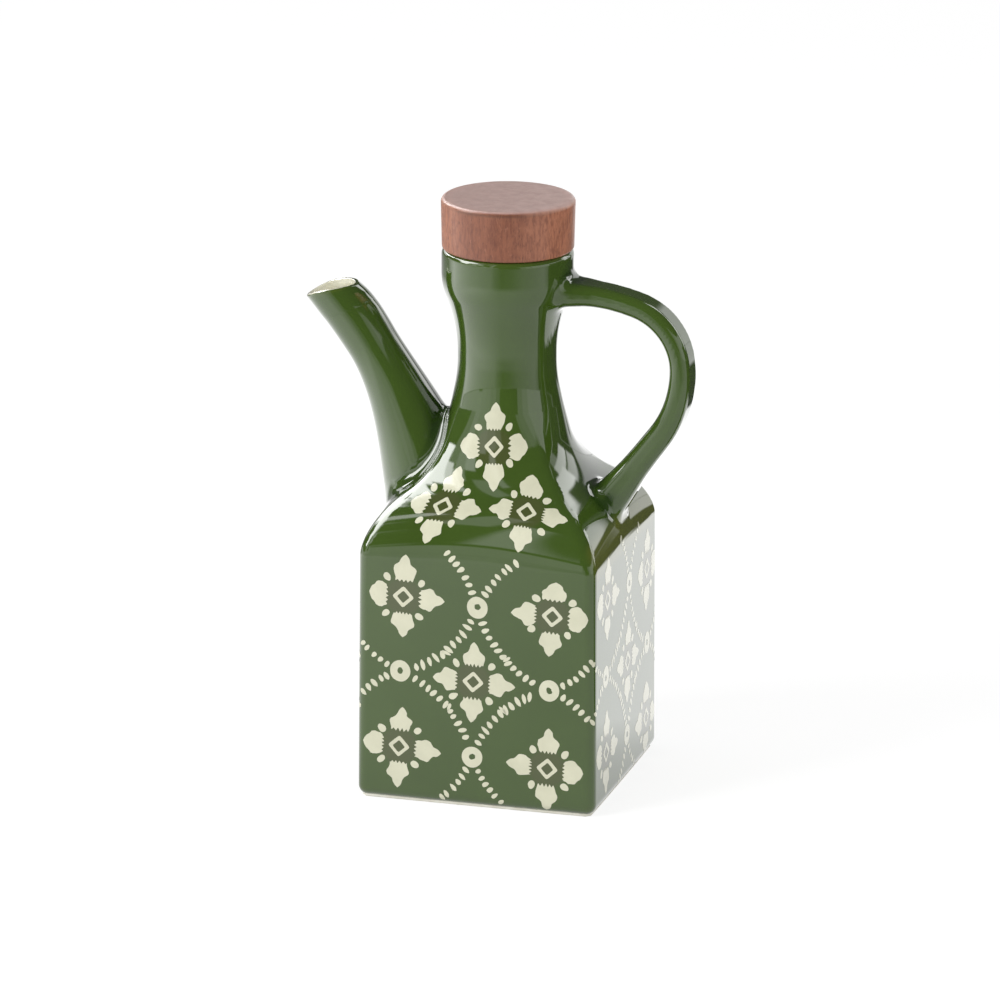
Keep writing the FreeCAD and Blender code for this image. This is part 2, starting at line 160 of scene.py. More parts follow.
def stage_piece(name, points, faces, levels, material):
    mesh = bpy.data.meshes.new(name)
    mesh.from_pydata(points, [], faces)
    shine = mesh.attributes.new("shine", "FLOAT", "POINT")
    shine.data.foreach_set("value", levels)
    mesh.materials.append(material)
    piece = bpy.data.objects.new(name, mesh)
    scene.collection.objects.link(piece)
    return piece


def make_world():
    """Even light for the colours; the camera sees plain white."""
    scene.world = bpy.data.worlds.new("studio")
    tree = cleared_tree(scene.world)
    path = add_node(tree, "LightPath")
    room = add_node(tree, "Background", Color=WHITE, Strength=WORLD_LIGHT)
    seen = add_node(tree, "Background", Color=WHITE)
    out = add_node(tree, "OutputWorld")
    shown = pick_shader(tree, path.outputs["Is Camera Ray"], room.outputs[0], seen.outputs[0])
    tree.links.new(shown, out.inputs[0])


def make_floor():
    """White floor: glossy rays see its own brightness, the camera sees it nearly white."""
    material = bpy.data.materials.new("white_floor")
    tree = cleared_tree(material)
    path = add_node(tree, "LightPath")
    paper = add_node(tree, "BsdfDiffuse", Color=(0.8, 0.8, 0.8, 1))
    shaded = add_node(tree, "BsdfDiffuse", Color=(0.3, 0.3, 0.3, 1))
    white = add_node(tree, "Emission", Strength=0.80)
    both = add_node(tree, "AddShader")
    tree.links.new(shaded.outputs[0], both.inputs[0])
    tree.links.new(white.outputs[0], both.inputs[1])
    unseen = pick_shader(tree, path.outputs["Is Glossy Ray"], paper.outputs[0], own_glow(tree))
    shown = pick_shader(tree, path.outputs["Is Camera Ray"], unseen, both.outputs[0])
    out = add_node(tree, "OutputMaterial")
    tree.links.new(shown, out.inputs[0])
    points = [(0.0, 0.0, 0.0)]
    for reach in FLOOR_RINGS:
        for i in range(FLOOR_SPOKES):
            a = 2 * math.pi * i / FLOOR_SPOKES
            points.append((reach * math.sin(a), -reach * math.cos(a), 0.0))
    faces = [(0, 1 + i, 1 + (i + 1) % FLOOR_SPOKES) for i in range(FLOOR_SPOKES)]
    faces += ring_faces(len(FLOOR_RINGS), FLOOR_SPOKES, 1)
    stage_piece("floor", points, faces, [shade_floor(x, y) for x, y, _z in points], material)


def make_cards():
    """A dome of reflecting cards and dim room, seen by glossy rays alone."""
    material = bpy.data.materials.new("cards")
    tree = cleared_tree(material)
    out = add_node(tree, "OutputMaterial")
    tree.links.new(own_glow(tree), out.inputs[0])
    points, levels = [], []
    for j in range(CARD_ROWS):
        elevation = -1 + 90 * j / (CARD_ROWS - 1)
        for i in range(CARD_COLUMNS):
            azimuth = -180 + 360 * i / CARD_COLUMNS
            e, a = math.radians(elevation), math.radians(azimuth)
            points.append((CARD_DISTANCE * math.cos(e) * math.sin(a),
                           -CARD_DISTANCE * math.cos(e) * math.cos(a),
                           CARD_CENTRE + CARD_DISTANCE * math.sin(e)))
            levels.append(shade_cards(azimuth, elevation))
    cards = stage_piece("reflecting_cards", points, ring_faces(CARD_ROWS, CARD_COLUMNS), levels, material)
    for ray in ("camera", "diffuse", "transmission", "volume_scatter", "shadow"):
        setattr(cards, "visible_" + ray, False)


def soft_box(name, place, power):
    """A lamp for the colours alone: what the glaze mirrors are the cards."""
    data = bpy.data.lights.new(name, "AREA")
    data.shape = "RECTANGLE"
    data.size = data.size_y = LAMP_SIZE
    data.energy = power
    lamp = bpy.data.objects.new(name, data)
    lamp.location = place
    lamp.rotation_euler = (Vector((0, 0, 0.1)) - Vector(place)).to_track_quat("-Z", "Y").to_euler()
    lamp.visible_camera = False
    lamp.visible_glossy = False
    scene.collection.objects.link(lamp)


# ------------------------------ materials
class Maker:
    """Short names for building a material's nodes."""

    def __init__(self, name):
        self.material = bpy.data.materials.new(name)
        self.material.use_nodes = True
        self.tree = self.material.node_tree
        self.shader = self.tree.nodes["Principled BSDF"]
        self.place = self.add("ShaderNodeTexCoord").outputs["Object"]

    def add(self, kind, **values):
        node = self.tree.nodes.new(kind)
        for key, value in values.items():
            setattr(node, key, value)
        return node

    def feed(self, socket, value):
        """Gives a socket a number, a colour or another socket's output."""
        if isinstance(value, (int, float)):
            socket.default_value = value
        elif isinstance(value, tuple):
            socket.default_value = (*value, 1.0)
        else:
            self.tree.links.new(value, socket)

    def set(self, **values):
        """Feeds the shader's own sockets."""
        for key, value in values.items():
            self.feed(self.shader.inputs[key.replace("_", " ")], value)

    def stretched(self, scale):
        node = self.add("ShaderNodeMapping")
        node.inputs["Scale"].default_value = scale
        self.feed(node.inputs["Vector"], self.place)
        return node.outputs["Vector"]

    def noise(self, scale, detail=3.0, rough=0.5, where=None):
        node = self.add("ShaderNodeTexNoise")
        for key, value in (("Scale", scale), ("Detail", detail), ("Roughness", rough),
                           ("Vector", where or self.place)):
            self.feed(node.inputs[key], value)
        return node.outputs["Fac"]

    def ramp(self, value, low, high, to_low=0.0, to_high=1.0):
        node = self.add("ShaderNodeMapRange")
        for key, number in (("Value", value), ("From Min", low), ("From Max", high),
                            ("To Min", to_low), ("To Max", to_high)):
            self.feed(node.inputs[key], number)
        return node.outputs["Result"]

    def mix(self, share, a, b):
        node = self.add("ShaderNodeMix", data_type="RGBA")
        for number, value in ((0, share), (6, a), (7, b)):
            self.feed(node.inputs[number], value)
        return node.outputs[2]

    def times(self, a, b):
        node = self.add("ShaderNodeMath", operation="MULTIPLY")
        for socket, value in zip(node.inputs, (a, b)):
            self.feed(socket, value)
        return node.outputs[0]

    def value(self, name):
        return self.add("ShaderNodeAttribute", attribute_name=name).outputs["Fac"]

    def bump(self, *layers):
        """Bumps laid over each other, each a height and its depth in metres."""
        normal = None
        for height, depth in layers:
            node = self.add("ShaderNodeBump")
            self.feed(node.inputs["Distance"], depth)
            self.feed(node.inputs["Height"], height)
            if normal is not None:
                self.feed(node.inputs["Normal"], normal)
            normal = node.outputs["Normal"]
        return normal


# the slow waviness of the glaze: its noise, and its depth in metres
WAVES, WAVE_DEPTH = (34, 2, .4), .00006


def green_glaze():
    """Bottle-green glaze: deeper where it pools and darker with painted shade where parts stand close, olive
    over edges with a painted reflection on the right side's top, browned in the flowers' middles.
    """
    m = Maker("green_glaze")
    cloud = m.ramp(m.noise(38, 4, .55), .3, .7)
    base = m.mix(cloud, (.043, .080, .0100), (.050, .092, .0130))
    fine = m.ramp(m.noise(900, 2, .6), .62, .8)
    base = m.mix(m.times(fine, .25), base, (.062, .105, .022))
    # darker where the glaze pools in hollows, plus painted shade where another part stands close
    base = m.mix(m.times(m.value("pool"), .85), base, (.015, .038, .005))
    # lighter olive where the glaze runs thin over edges, plus a painted reflection on the right side's top
    base = m.mix(m.times(m.value("thin"), .8), base, (.125, .140, .020))
    base = m.mix(m.times(m.value("halo"), .62), base, (.078, .082, .030))
    waves = m.noise(*WAVES)
    m.set(Base_Color=base, Roughness=m.ramp(m.noise(60, 3, .5), .35, .7, .05, .10), IOR=1.5,
          Coat_Weight=1.0, Coat_Roughness=0.015, Coat_IOR=1.5,
          Normal=m.bump((waves, WAVE_DEPTH), (m.noise(240, 2, .5), .000007)),
          Coat_Normal=m.bump((waves, WAVE_DEPTH)))
    return m.material


def cream_print():
    """The stamped slip under clear glaze, a little uneven and thin in places."""
    m = Maker("cream_print")
    base = m.mix(m.ramp(m.noise(120, 4, .6), .3, .72), (.70, .69, .52), (.62, .615, .455))
    speck = m.ramp(m.noise(1500, 2, .6), .64, .78)
    base = m.mix(m.times(speck, .35), base, (.50, .52, .34))
    waves = m.noise(*WAVES)
    m.set(Base_Color=base, Roughness=.22, IOR=1.5, Coat_Weight=1.0, Coat_Roughness=0.02, Coat_IOR=1.5,
          Normal=m.bump((waves, WAVE_DEPTH), (m.noise(700, 2, .5), .000006)),
          Coat_Normal=m.bump((waves, WAVE_DEPTH)))
    return m.material


def cream_glaze():
    """Cream clay under clear glaze, inside the spout and on its lip."""
    m = Maker("cream_glaze")
    base = m.mix(m.ramp(m.noise(160, 3, .6), .3, .7), (.76, .745, .60), (.68, .66, .50))
    m.set(Base_Color=base, Roughness=.18, Coat_Weight=1.0, Coat_Roughness=0.03,
          Normal=m.bump((m.noise(300, 2, .5), .00002)))
    return m.material


def bare_clay():
    """Dry white clay with a fine tooth, rubbed grey in places."""
    m = Maker("bare_clay")
    base = m.mix(m.ramp(m.noise(220, 5, .65), .35, .7), (.78, .76, .68), (.66, .63, .54))
    base = m.mix(m.times(m.ramp(m.noise(1800, 2, .6), .6, .8), .4), base, (.5, .46, .38))
    m.set(Base_Color=base, Roughness=m.ramp(m.noise(400, 3, .6), .3, .7, .65, .85),
          Normal=m.bump((m.noise(1500, 3, .6), .00004)))
    return m.material


def red_wood():
    """Oiled red-brown wood: streaks and pores, a top painted pale as a reflection, sides painted lighter as
    sheen, a painted highlight on the edge at the sides and a painted shade line under it at front and back.
    """
    m = Maker("red_wood")
    wide = m.ramp(m.noise(1, 4, .55, m.stretched((230, 230, 70))), .32, .7)
    base = m.mix(wide, (.295, .110, .059), (.210, .070, .034))
    # painted sheen: the sides facing +X and -X are painted lighter
    base = m.mix(m.value("faded"), base, (.50, .195, .105))
    streak = m.ramp(m.noise(1, 3, .6, m.stretched((1100, 1100, 260))), .42, .66)
    base = m.mix(m.times(streak, .62), base, (.150, .047, .027))
    pore = m.ramp(m.noise(1, 2, .5, m.stretched((2600, 2600, 600))), .58, .72)
    base = m.mix(m.times(pore, .55), base, (.085, .028, .017))
    glint = m.ramp(m.noise(1, 2, .5, m.stretched((2100, 2100, 560))), .62, .76)
    base = m.mix(m.times(glint, .45), base, (.46, .20, .12))
    # painted highlight along the top edge on the sides facing +X and -X
    base = m.mix(m.times(m.value("worn"), .55), base, (.56, .36, .29))
    # painted shade: a dark line under the top edge on the front and back
    base = m.mix(m.times(m.value("seam"), .7), base, (.11, .05, .032))
    # painted reflection: the top face is painted pale pinkish grey
    base = m.mix(m.times(m.value("top"), .8), base, m.mix(wide, (.60, .43, .395), (.50, .34, .305)))
    m.set(Base_Color=base, Roughness=m.ramp(m.noise(700, 3, .6), .3, .7, .34, .5), Coat_Weight=.35,
          Coat_Roughness=.25, Specular_IOR_Level=.5, Normal=m.bump((streak, .00002), (pore, .00003)))
    return m.material


# ------------------------------ the vessel's surface, in millimetres
# The same sizes as the solid. A field is below 0 inside the clay and about the distance outside it.
WALL_TOP, HALF_FOOT, HALF_TOP = 84.7, 41.5, 41.05
SHOULDER, HOLLOW = 22.5, 31.0                           # radii of the shoulder's two curves
FOOT, RIM, CAP_TOP = 0.6, 183.59, 200.89                # heights
SHOULDER_TOP, NECK_FOOT = 120.59, 20.937                # height and half width
THROAT_LOW, THROAT_HIGH, THROAT = 145.99, 147.99, 16.7  # heights and half width
NECK_BEND, FLARE_BEND, COLLAR_BEND = 52, 50, 20         # radii
SLOPE, TAPER, SWELL = map(math.radians, (52.31, 12.0, 22.8))
ROUND_HEIGHT, SHIFT = 131.19, -0.7                      # where the section is round, and its middle in x
CROWN_FLAT, CROWN_ROUND, CHORD = 0.6, 40.0, 0.915       # a side's half arc in degrees, its share of width
RIM_EDGE, FOOT_EDGE = 2.0, 3.2                          # edge radii
SPOUT_JOIN, HANDLE_JOIN = 5.0, 3.5                      # how softly they run into the body


def profile_table():
    """Half width of the vessel in the middle of a side, against height."""
    rows = [(FOOT - 40, HALF_FOOT), (1.3, HALF_FOOT), (WALL_TOP, HALF_TOP)]
    for i in range(1, 201):
        a = SLOPE * i / 200
        rows.append((WALL_TOP + SHOULDER * math.sin(a), HALF_TOP - SHOULDER * (1 - math.cos(a))))
    for i in range(1, 201):
        a = SLOPE + (TAPER - SLOPE) * i / 200
        rows.append((SHOULDER_TOP - HOLLOW * (math.sin(a) - math.sin(TAPER)),
                     NECK_FOOT + HOLLOW * (math.cos(TAPER) - math.cos(a))))
    for i in range(0, 101):
        a = TAPER * (1 - i / 100)
        rows.append((THROAT_LOW - NECK_BEND * math.sin(a), THROAT + NECK_BEND * (1 - math.cos(a))))
    for i in range(0, 101):
        a = SWELL * i / 100
        rows.append((THROAT_HIGH + FLARE_BEND * math.sin(a), THROAT + FLARE_BEND * (1 - math.cos(a))))
    z, w = rows[-1]
    for i in range(1, 101):
        a = SWELL * (1 - i / 100)
        rows.append((z + COLLAR_BEND * (math.sin(SWELL) - math.sin(a)),
                     w + COLLAR_BEND * (math.cos(a) - math.cos(SWELL))))
    rows.append((RIM + 20, rows[-1][1]))
    return np.array(rows)


PROFILE = profile_table()
HEIGHTS = np.arange(-2.0, 190.0, 0.05)
WIDTHS = np.interp(HEIGHTS, PROFILE[:, 0], PROFILE[:, 1])
LEANS = 1 / np.sqrt(1 + np.gradient(WIDTHS, HEIGHTS) ** 2)


def ease(t):
    return t * t * (3 - 2 * t)


def section_sizes(z):
    """The section at a height: half width, roundness, a side's half arc and radius, the corner's radius
    and middle."""
    width = np.interp(z, HEIGHTS, WIDTHS)
    blend = rise(z - WALL_TOP, ROUND_HEIGHT - WALL_TOP)
    crown = np.radians(CROWN_FLAT + (CROWN_ROUND - CROWN_FLAT) * blend ** 1.3)
    chord = width * (CHORD + (math.sin(math.radians(CROWN_ROUND)) - CHORD) * blend)
    side = chord / np.sin(crown)
    reach = width - side * (1 - np.cos(crown))
    corner = (reach - chord) / (np.cos(crown) - np.sin(crown))
    return width, blend, crown, side, corner, chord - corner * np.sin(crown)


def rounded_meet(a, b, radius):
    """Where two surfaces meet at an edge rounded to this radius."""
    u, v = a + radius, b + radius
    return np.minimum(np.maximum(u, v), 0) + np.hypot(np.maximum(u, 0), np.maximum(v, 0)) - radius


def side_field(p):
    """The body without its ends: a square section with softened corners that turns round up the shoulder."""
    x, y, z = p[:, 0], p[:, 1], p[:, 2]
    width, blend, crown, side, corner, centre = section_sizes(z)
    ax, ay = np.abs(x - SHIFT * blend), np.abs(y)
    ax, ay = np.maximum(ax, ay), np.minimum(ax, ay)
    run = ax + side - width
    flat = np.hypot(run, ay) - side
    bent = np.hypot(ax - centre, ay - centre) - corner
    return np.where(np.arctan2(ay, run) <= crown, flat, bent) * np.interp(z, HEIGHTS, LEANS)


def body_field(p):
    z = p[:, 2]
    return rounded_meet(rounded_meet(side_field(p), z - RIM, RIM_EDGE), FOOT - z, FOOT_EDGE)


def smooth_table(shares, keys, values, reach):
    """Values between keys, with the kinks smoothed over a reach."""
    table = np.interp(shares, keys, values)
    n = max(1, int(reach / (shares[1] - shares[0])))
    padded = np.pad(table, n, mode="edge")
    for _ in range(2):
        padded = np.convolve(padded, np.ones(n + 1) / (n + 1), mode="same")
    out = padded[n:-n]
    out[0], out[-1] = table[0], table[-1]
    return out


def spout_path():
    """The spout's middle line, one long bend, with its sections turning level towards the mouth."""
    bend, start_x, start_z, low_radius, thinning = 168.5, -21.15, 56.1, 16.7, 7.9
    shares = np.linspace(0, 1, MOUTH + 1)
    theta = np.radians(40.2) * shares
    keys = [0, .8, .91, .965, 1]
    lean = smooth_table(shares, keys, [0, 0, .55, .8, 1], .03)
    reach = smooth_table(shares, [0, .91, .965, 1], [0, 0, .4, 1], .02)
    angle = theta - lean * (theta - math.radians(15.5))
    radius = low_radius - ease(rise(shares - .3, .52)) * thinning
    length = radius + smooth_table(shares, keys, [0, 0, .49, .7, .4], .03)
    return {"x": start_x - bend * (1 - np.cos(theta)) - reach * 1.1, "z": start_z + bend * np.sin(theta),
            "angle": angle, "a": length, "b": radius, "r": None}


def handle_path():
    """The strap's middle line: heading +X at the collar, then three bends down to the shoulder."""
    step, thick, broad = 0.25, 6.9, 13.1
    runs = [(11.0, None, "lead"), (69.7, 17.3, "crest"), (22.1, 67.5, "grip"),
            (36.6, 41.7, "fall"), (22.6, None, "leg"), (10.0, None, "root")]
    swells = {"lead": ([0, .7, 1], [1, .9, .75], [.35, .3, .25]),
              "crest": ([0, .05, .25, .6, 1], [.75, .6, .15, 0, 0], [.25, .2, .05, 0, 0]),
              "grip": ([0, 1], [0, 0], [0, 0]),
              "fall": ([0, .35, .7, 1], [0, .07, .14, .2], [0, .14, .28, .4]),
              "leg": ([0, .35, .65, 1], [.2, .225, .29, .5], [.4, .45, .58, 1]),
              "root": ([0, 1], [.5, .8], [1, 1.4])}
    x, z, heading = 12.4, 170.09, 0.0
    xs, zs, angles, spread, swell = [x], [z], [heading], [1.0], [.35]
    for size, turn, name in runs:
        length = size if turn is None else size * math.radians(turn)
        count = int(round(length / step))
        bend = 0.0 if turn is None else math.radians(turn) / count
        for i in range(count):
            heading -= bend / 2
            x += length / count * math.cos(heading)
            z += length / count * math.sin(heading)
            heading -= bend / 2
            share = (i + 1) / count
            keys, wider, thicker = swells[name]
            xs.append(x)
            zs.append(z)
            angles.append(heading)
            spread.append(np.interp(share, keys, wider))
            swell.append(np.interp(share, keys, thicker))
    n = 10
    smooth = [np.convolve(np.pad(v, n, mode="edge"), np.ones(2 * n + 1) / (2 * n + 1), mode="valid")
              for v in (spread, swell)]
    # the section planes stand across the line, as angles from +Z
    return {"x": np.array(xs), "z": np.array(zs), "angle": np.array(angles) - math.pi / 2,
            "a": (thick + 4.7 * smooth[1]) / 2, "b": (broad + 4.5 * smooth[0]) / 2,
            "r": 3.0 + 4.7 * smooth[1] / 3}


def path_at(path, s):
    """Middle, direction and section at fractional places along a path."""
    i = np.arange(len(path["x"]))
    x, z, angle = (np.interp(s, i, path[k]) for k in ("x", "z", "angle"))
    sizes = [None if path[k] is None else np.interp(s, i, path[k]) for k in ("a", "b", "r")]
    return x, z, -np.sin(angle), np.cos(angle), sizes


def sweep_field(p, path):
    """Distance to a tube swept along a path in the plane y = 0, or the margin where it is far off."""
    margin = 14.0
    out = np.full(len(p), margin)
    x, z = path["x"], path["z"]
    near = ((p[:, 0] > x.min() - margin * 2) & (p[:, 0] < x.max() + margin * 2)
            & (p[:, 2] > z.min() - margin * 2) & (p[:, 2] < z.max() + margin * 2))
    if not near.any():
        return out
    q = p[near]
    s = np.empty(len(q))
    for i in range(0, len(q), 20000):
        part = q[i:i + 20000]
        gaps = (part[:, :1] - x[None, ::4]) ** 2 + (part[:, 2:] - z[None, ::4]) ** 2
        s[i:i + 20000] = np.argmin(gaps, 1) * 4
    step = math.hypot(x[2] - x[1], z[2] - z[1])
    last = len(x) - 1
    for _ in range(6):
        cx, cz, tx, tz, _sizes = path_at(path, s)
        along = (q[:, 0] - cx) * tx + (q[:, 2] - cz) * tz
        s = np.clip(s + along / step, 0, last)
    cx, cz, tx, tz, (a, b, r) = path_at(path, s)
    along = (q[:, 0] - cx) * tx + (q[:, 2] - cz) * tz
    u = (q[:, 0] - cx) * tz - (q[:, 2] - cz) * tx
    v = q[:, 1]
    if r is None:
        k = np.sqrt((u / a) ** 2 + (v / b) ** 2)
        d = (k - 1) * k / np.maximum(np.sqrt((u / a ** 2) ** 2 + (v / b ** 2) ** 2), 1e-6)
        d = np.where(k < 0.05, -b, d)
    else:
        du, dv = np.abs(u) - (a - r), np.abs(v) - (b - r)
        d = np.hypot(np.maximum(du, 0), np.maximum(dv, 0)) + np.minimum(np.maximum(du, dv), 0) - r
    ends = np.where(s <= 0, -along, np.where(s >= last, along, -margin))
    out[near] = np.maximum(d, ends)
    return out


def soft_union(a, b, k):
    """Two fields joined, with a fillet of about this size."""
    h = np.clip(0.5 + 0.5 * (b - a) / k, 0, 1)
    return b * (1 - h) + a * h - k * h * (1 - h)


MOUTH = 480                 # the place along the spout's path where it ends
SPOUT, HANDLE = spout_path(), handle_path()


def vessel_field(p):
    f = soft_union(body_field(p), sweep_field(p, SPOUT), SPOUT_JOIN)
    return soft_union(f, sweep_field(p, HANDLE), HANDLE_JOIN)


def slope(p):
    step = 0.08
    g = np.empty_like(p)
    for i in range(3):
        d = np.zeros(3)
        d[i] = step
        g[:, i] = (vessel_field(p + d) - vessel_field(p - d)) / (2 * step)
    return g


def outward(p):
    """The direction out of the vessel's surface at each point."""
    g = slope(p)
    return g / np.linalg.norm(g, axis=1)[:, None]


def settle(p, level=0.0):
    """Moves points along the field's slope until they lie this far off the surface."""
    most = 1.5
    p = p.copy()
    for _ in range(4):
        g = slope(p)
        move = -(vessel_field(p) - level)[:, None] * g / np.maximum((g * g).sum(1), 0.04)[:, None]
        size = np.linalg.norm(move, axis=1)
        p += move * np.minimum(1, most / np.maximum(size, 1e-9))[:, None]
    return p


# ------------------------------ meshes
MM = 0.001
VOXEL = 0.95


def new_mesh(name, points, faces, materials, normals=None, indices=None):
    """A smooth-shaded piece from points in millimetres."""
    mesh = bpy.data.meshes.new(name)
    mesh.from_pydata((np.asarray(points) * MM).tolist(), [], [tuple(f) for f in faces])
    for material in materials:
        mesh.materials.append(material)
    mesh.shade_smooth()
    if indices is not None:
        mesh.polygons.foreach_set("material_index", np.asarray(indices, np.int32))
    mesh.validate()
    if normals is not None:
        mesh.normals_split_custom_set_from_vertices(np.asarray(normals).tolist())
    mesh.update()
    piece = bpy.data.objects.new(name, mesh)
    scene.collection.objects.link(piece)
    return piece


def ring_faces(rings, count, start=0):
    """Quads between closed rings of points laid one after another."""
    faces = []
    for i in range(rings - 1):
        for j in range(count):
            k = (j + 1) % count
            a = start + i * count
            faces.append((a + j, a + k, a + count + k, a + count + j))
    return faces


def closed_tube(rings, start_shut=True):
    """Points and faces of a tube through rings of equal size, shut at its end and perhaps at its start."""
    count = len(rings[0])
    points = np.concatenate(rings)
    faces = ring_faces(len(rings), count)
    if start_shut:
        faces.append(tuple(range(count - 1, -1, -1)))
    faces.append(tuple(range(len(points) - count, len(points))))
    return points, faces


def circle(count):
    """Angles once round, the first not repeated."""
    return np.linspace(0, 2 * math.pi, count, endpoint=False)


def body_ring(z, count=96, out=0.0):
    """The body's section at one height, found outward from its axis by halving."""
    turn = circle(count) + math.pi / count
    middle = SHIFT * float(rise(z - WALL_TOP, ROUND_HEIGHT - WALL_TOP))
    low, high = np.zeros(count), np.full(count, 65.0)

    def at(radius):
        return np.stack([middle + radius * np.cos(turn), radius * np.sin(turn), np.full(count, z)], 1)

    for _ in range(34):
        mid = (low + high) / 2
        inside = side_field(at(mid)) < out
        low, high = np.where(inside, mid, low), np.where(inside, high, mid)
    return at(low)


def path_ring(path, s, count=32):
    x, z, tx, tz, (a, b, _r) = path_at(path, np.array([float(s)]))
    u, v = a * np.cos(circle(count)), b * np.sin(circle(count))
    return np.stack([x + u * tz, v, z - u * tx], 1)


def build_vessel(materials):
    """One skin over body, spout and strap, with the joins run together like glaze over luted clay."""
    heights = [FOOT, 20, 45, 70, WALL_TOP] + list(np.linspace(WALL_TOP, 176, 46)[1:]) + [RIM]
    parts = [closed_tube([body_ring(z) for z in heights]),
             closed_tube([path_ring(SPOUT, s) for s in np.linspace(30, 478, 60)]),
             closed_tube([path_ring(HANDLE, s) for s in np.linspace(2, len(HANDLE["x"]) - 3, 90)])]
    points, faces, start = [], [], 0
    for part, skin in parts:
        points.append(part)
        faces += [tuple(start + i for i in face) for face in skin]
        start += len(part)
    piece = new_mesh("glazed_vessel", np.concatenate(points), faces, [])
    remesh = piece.modifiers.new("skin", "REMESH")
    remesh.mode = "VOXEL"
    remesh.voxel_size = VOXEL * MM
    bpy.context.view_layer.update()
    skin = bpy.data.meshes.new_from_object(piece.evaluated_get(bpy.context.evaluated_depsgraph_get()))
    count = len(skin.vertices)
    p = np.empty(count * 3)
    skin.vertices.foreach_get("co", p)
    p = settle(p.reshape(-1, 3) / MM)
    faces = [tuple(f.vertices) for f in skin.polygons]
    bpy.data.objects.remove(piece)
    # the spout's last 6 mm go: the lip is a piece of its own
    cx, cz, tx, tz, _sizes = path_at(SPOUT, np.array([float(MOUTH)]))
    above = ((p[:, 0] - cx) * tx + (p[:, 2] - cz) * tz > -6.0) & (p[:, 0] < -45)
    faces = [f for f in faces if not any(above[i] for i in f)]
    used = np.unique(np.concatenate([np.array(f) for f in faces]))
    index = np.full(count, -1)
    index[used] = np.arange(len(used))
    p = p[used]
    faces = [tuple(int(index[i]) for i in f) for f in faces]
    return new_mesh("glazed_vessel", p, faces, materials, normals=outward(p))


# ------------------------------ lip, foot and stopper
def build_lip(materials):
    """The spout's mouth: green outside, a rounded cream rim, and the bore going down into the dark."""
    step, count, wall, rim, bore, bore_radius = 0.2463, 112, 1.7, 0.85, 9.5, 5.3
    turn = circle(count)
    rings, orders = [], []

    def ring(depth, out, order, narrow=0.0, lift=1.25):
        """One ring below the mouth, this far out from the tube; the order counts rows over the rim."""
        x, z, tx, tz, (a, b, _r) = path_at(SPOUT, np.array([MOUTH - depth / step]))
        a, b = a + out, b + out
        if narrow:
            share = min(1, depth / bore) ** .8
            a, b = a + (narrow - a) * share, b + (narrow - b) * share
        up = lift * np.sin(turn) ** 2 * np.clip(1 - depth / 7, 0, 1)
        u, v = a * np.cos(turn), b * np.sin(turn)
        rings.append(np.stack([x + u * tz + up * tx, v, z - u * tx + up * tz], 1))
        orders.append(order)

    ring(bore, -0.25, 0, lift=0)
    for depth in (8.6, 7.8, 7.0, 6.0, 5.0, 4.0, 3.0, 2.0, 1.4):
        ring(depth, 0.03 if depth < 8 else -0.05, 0)
    for i in range(0, 13):
        a = math.pi * i / 12
        ring(rim - rim * math.sin(a), 0.03 - rim + rim * math.cos(a), i)
    for depth in (1.3, 2.0, 3.0, 4.2, 5.6, 7.2, 8.4, bore, 12, 16, 20):
        ring(depth, -wall, 99, narrow=bore_radius)
    # the green reaches over the far side of the rim; leaving the near left side cream is a painted highlight
    start = 3.3 + 4.2 * np.clip(.45 + .7 * np.sin(turn) + .4 * np.cos(turn), 0, 1)
    marks = [int(order > start[j]) for order in orders[1:] for j in range(count)]
    points, faces = closed_tube(rings, start_shut=False)
    return new_mesh("spout_lip", points, faces, materials, indices=marks + [1])


def build_foot(materials):
    """The bare clay foot under the glaze, with softened edges and a shallow dished underside."""
    rows = [(1.6, -2.6), (1.3, -1.75), (1.05, -1.5), (.8, -1.42), (.5, -1.4), (.3, -1.46), (.12, -1.6),
            (.03, -1.85), (0, -2.3), (0, -5), (.1, -5.9), (.3, -7), (.4, -10), (.4, -20), (.4, -32)]
    rings = []
    for z, out in rows:
        ring = body_ring(FOOT + .01, 160, out)
        ring[:, 2] = z
        rings.append(ring)
    points, faces = closed_tube(rings, start_shut=False)
    return new_mesh("clay_foot", points, faces, materials)


def build_stopper(materials):
    """A turned disc of wood, its edges eased by hand so that they waver a little."""
    rng = np.random.default_rng(5)
    low, high = RIM, CAP_TOP
    turn = circle(192)
    waver = sum(rng.normal(0, .035 / k) * np.cos(k * turn + rng.uniform(0, 6.3)) for k in range(2, 9))
    rows = [(low, 8.0, 0), (low, 21.2, 0)]
    rows += [(low + .8 - .8 * math.cos(a), 21.3 + .8 * math.sin(a), 0) for a in np.linspace(.2, 1.57, 6)]
    rows += [(z, 22.1 + .4 * (z - low) / 17.3, 0) for z in np.linspace(low + 1.2, high - 2.0, 12)]
    rows += [(high - 1.6 + 1.6 * math.sin(a), 20.88 + 1.6 * math.cos(a), 1) for a in np.linspace(0, 1.5, 10)]
    rows += [(high, r, 0) for r in (20.4, 18, 14, 10, 6, 2.5)]
    rings = []
    for z, radius, edge in rows:
        r = radius + waver * (1.0 if edge else .3) - .03
        rings.append(np.stack([SHIFT + r * np.cos(turn), r * np.sin(turn), np.full(len(turn), z)], 1))
    points, faces = closed_tube(rings)
    return new_mesh("turned_stopper", points, faces, materials)


# ------------------------------ the stamped pattern
SIDES = ("front", "right", "back", "left")
MID_WALL = 45.0         # the height whose section the printed walls follow
PRINT_LIFT = 0.028      # how far the slip stands off the glaze
FLOWER_REACH = 14.3     # from a flower's middle to a petal's tip
